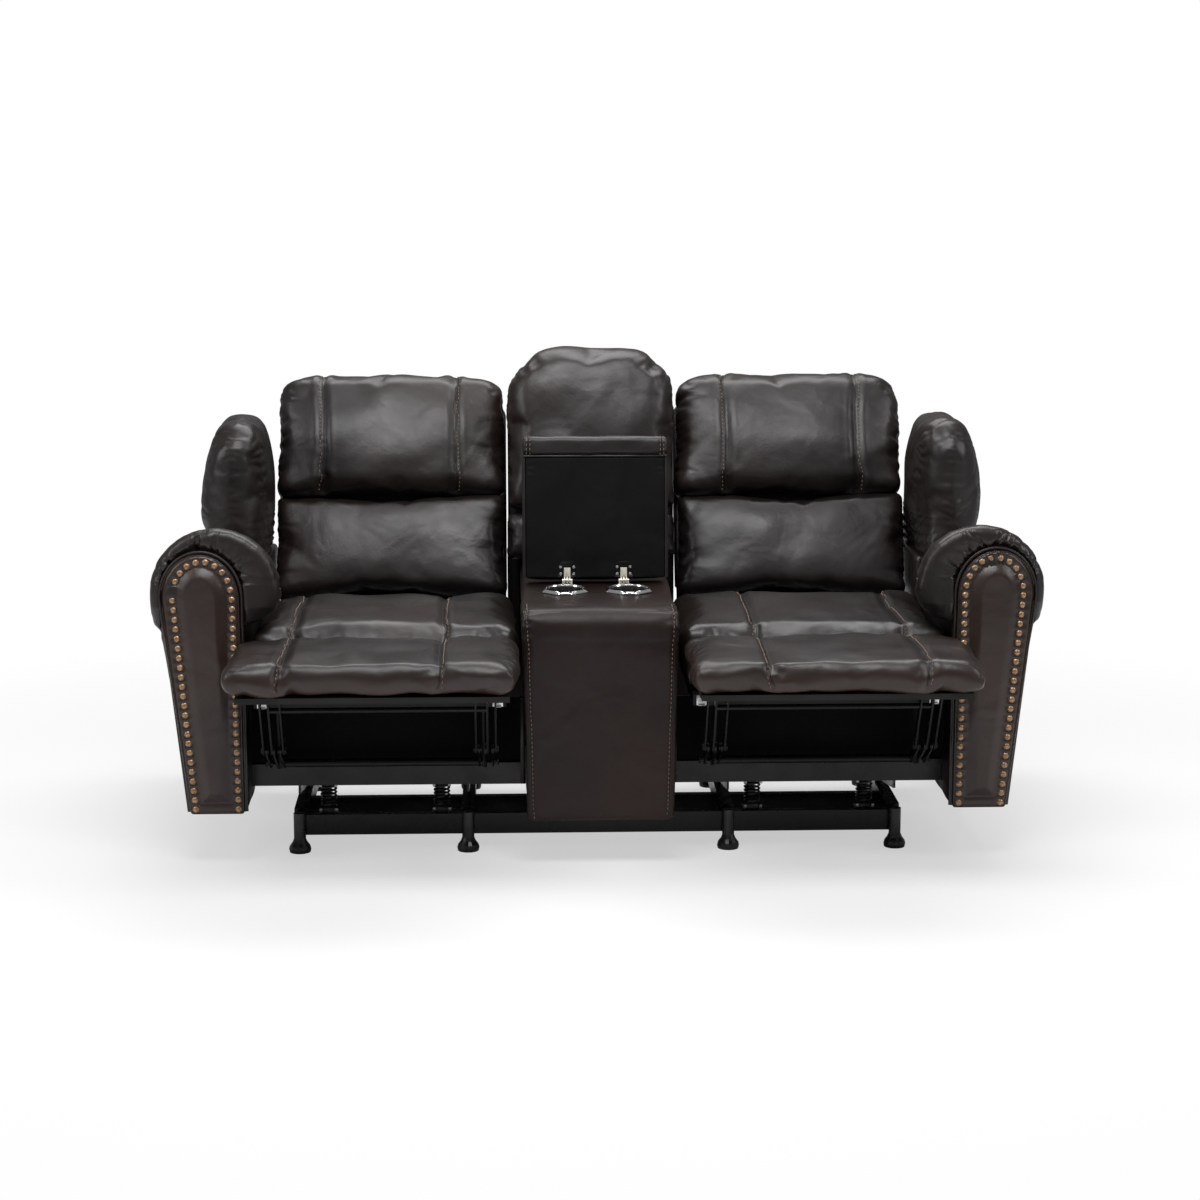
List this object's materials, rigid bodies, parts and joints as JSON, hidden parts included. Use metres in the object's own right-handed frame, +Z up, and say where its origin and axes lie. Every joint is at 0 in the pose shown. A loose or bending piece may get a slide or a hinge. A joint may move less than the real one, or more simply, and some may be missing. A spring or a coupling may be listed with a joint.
{
  "type": "reclining loveseat",
  "caption": "Two-seat leather recliner sofa with centre console, opening lid, cup holders, fold-out footrests, tilting backs and a sprung rocker base.",
  "frame": {"origin": "on the floor, under the middle of the bounding box", "axes": "+X to the right as seen from the front, +Y to the back, +Z up; the front faces -Y"},
  "size_m": [1.8798, 1.1552, 1.0404],
  "materials": {
    "leather": "semi-gloss dark brown bonded leather with fine grain",
    "panel_leather": "semi-gloss brown leather stretched over a board",
    "lid_lining": "smooth near-black lining",
    "black_steel": "gloss black enamel",
    "spring_steel": "oiled dark spring steel",
    "dark_board": "board covered in black dust cloth",
    "black_plastic": "gloss black",
    "nickel": "satin nickel",
    "chrome": "bright chrome"
  },
  "bodies": {
    "base": {"base_front_rail": "black_steel", "base_rear_rail": "black_steel", "left_outer_base_rail": "black_steel", "left_outer_front_foot": "black_plastic", "left_outer_rear_foot": "black_plastic", "left_outer_rocker_spring": "spring_steel", "left_inner_base_rail": "black_steel", "left_inner_front_foot": "black_plastic", "left_inner_rear_foot": "black_plastic", "left_inner_rocker_spring": "spring_steel", "right_outer_base_rail": "black_steel", "right_outer_front_foot": "black_plastic", "right_outer_rear_foot": "black_plastic", "right_outer_rocker_spring": "spring_steel", "right_inner_base_rail": "black_steel", "right_inner_front_foot": "black_plastic", "right_inner_rear_foot": "black_plastic", "right_inner_rocker_spring": "spring_steel"},
    "frame": {"rear_frame_panel": "leather", "console_box": "leather", "console_back_board": "leather", "console_back_lower_pillow": "leather", "console_back_upper_pillow": "leather", "left_outer_side_plate": "black_steel", "left_inner_side_plate": "black_steel", "left_front_board": "black_steel", "left_arm": "leather", "left_arm_panel": "panel_leather", "left_wing": "leather", "left_cup_holder": "chrome", "right_outer_side_plate": "black_steel", "right_inner_side_plate": "black_steel", "right_front_board": "black_steel", "right_arm": "leather", "right_arm_panel": "panel_leather", "right_wing": "leather", "right_cup_holder": "chrome"},
    "lid": {"console_lid": "lid_lining", "left_lid_hinge": "nickel", "right_lid_hinge": "nickel"},
    "left_seat": {"left_seat_cushion": "leather", "left_seat_deck": "dark_board"},
    "left_back": {"left_back_board": "leather", "left_lumbar_pillow": "leather", "left_head_pillow": "leather"},
    "left_footrest": {"left_footrest_pad": "leather", "left_footrest_board": "dark_board"},
    "left_rear_links": {"left_rear_links": "black_steel"},
    "left_front_links": {"left_front_links": "black_steel"},
    "left_lever": {"left_release_lever": "black_plastic"},
    "right_seat": {"right_seat_cushion": "leather", "right_seat_deck": "dark_board"},
    "right_back": {"right_back_board": "leather", "right_lumbar_pillow": "leather", "right_head_pillow": "leather"},
    "right_footrest": {"right_footrest_pad": "leather", "right_footrest_board": "dark_board"},
    "right_rear_links": {"right_rear_links": "black_steel"},
    "right_front_links": {"right_front_links": "black_steel"},
    "right_lever": {"right_release_lever": "black_plastic"}
  },
  "joints": [
    {"name": "rock", "type": "hinge", "parent": "base", "child": "frame", "pos_m": [0, 0.1376, 0.0863], "axis": [1, 0, 0], "range_deg": [-7, 3.5], "stiffness_Nm_per_rad": 2500, "deforming": ["left_outer_rocker_spring", "left_inner_rocker_spring", "right_outer_rocker_spring", "right_inner_rocker_spring"]},
    {"name": "lid_hinge", "type": "hinge", "parent": "frame", "child": "lid", "pos_m": [0, 0.0496, 0.558], "axis": [1, 0, 0], "range_deg": [0, 96]},
    {"name": "left_recline", "type": "hinge", "parent": "frame", "child": "left_back", "pos_m": [-0.462, 0.3276, 0.47], "axis": [-1, 0, 0], "range_deg": [-10, 15]},
    {"name": "left_glide", "type": "slide", "parent": "frame", "child": "left_seat", "axis": [0, -1, 0], "range_m": [-0.007, 0.0101]},
    {"name": "left_footrest_fold", "type": "hinge", "parent": "left_seat", "child": "left_footrest", "pos_m": [-0.462, -0.2384, 0.405], "axis": [1, 0, 0], "range_deg": [0, 90]},
    {"name": "left_rear_link_turn", "type": "hinge", "parent": "left_seat", "child": "left_rear_links", "pos_m": [-0.462, -0.1674, 0.205], "axis": [1, 0, 0], "range_deg": [-1, 82]},
    {"name": "left_front_link_turn", "type": "hinge", "parent": "left_footrest", "child": "left_front_links", "pos_m": [-0.462, -0.3524, 0.397], "axis": [1, 0, 0], "range_deg": [-125, 1]},
    {"name": "left_lever_pull", "type": "hinge", "parent": "frame", "child": "left_lever", "pos_m": [-0.89366, 0.0076, 0.33], "axis": [-0.9903, 0, -0.1392], "range_deg": [0, 40], "stiffness_Nm_per_rad": 2},
    {"name": "right_recline", "type": "hinge", "parent": "frame", "child": "right_back", "pos_m": [0.462, 0.3276, 0.47], "axis": [-1, 0, 0], "range_deg": [-10, 15]},
    {"name": "right_glide", "type": "slide", "parent": "frame", "child": "right_seat", "axis": [0, -1, 0], "range_m": [-0.007, 0.0101]},
    {"name": "right_footrest_fold", "type": "hinge", "parent": "right_seat", "child": "right_footrest", "pos_m": [0.462, -0.2384, 0.405], "axis": [1, 0, 0], "range_deg": [0, 90]},
    {"name": "right_rear_link_turn", "type": "hinge", "parent": "right_seat", "child": "right_rear_links", "pos_m": [0.462, -0.1674, 0.205], "axis": [1, 0, 0], "range_deg": [-1, 82]},
    {"name": "right_front_link_turn", "type": "hinge", "parent": "right_footrest", "child": "right_front_links", "pos_m": [0.462, -0.3524, 0.397], "axis": [1, 0, 0], "range_deg": [-125, 1]},
    {"name": "right_lever_pull", "type": "hinge", "parent": "frame", "child": "right_lever", "pos_m": [0.89366, 0.0076, 0.33], "axis": [-0.9903, 0, 0.1392], "range_deg": [0, 40], "stiffness_Nm_per_rad": 2}
  ],
  "couplings": [
    {"joint": "left_glide", "follows": "left_recline", "m_per_rad": 0.038},
    {"joint": "left_rear_link_turn", "follows": "left_footrest_fold", "ratio": 0.901},
    {"joint": "left_front_link_turn", "follows": "left_footrest_fold", "ratio": -1.37},
    {"joint": "right_glide", "follows": "right_recline", "m_per_rad": 0.038},
    {"joint": "right_rear_link_turn", "follows": "right_footrest_fold", "ratio": 0.901},
    {"joint": "right_front_link_turn", "follows": "right_footrest_fold", "ratio": -1.37}
  ]
}
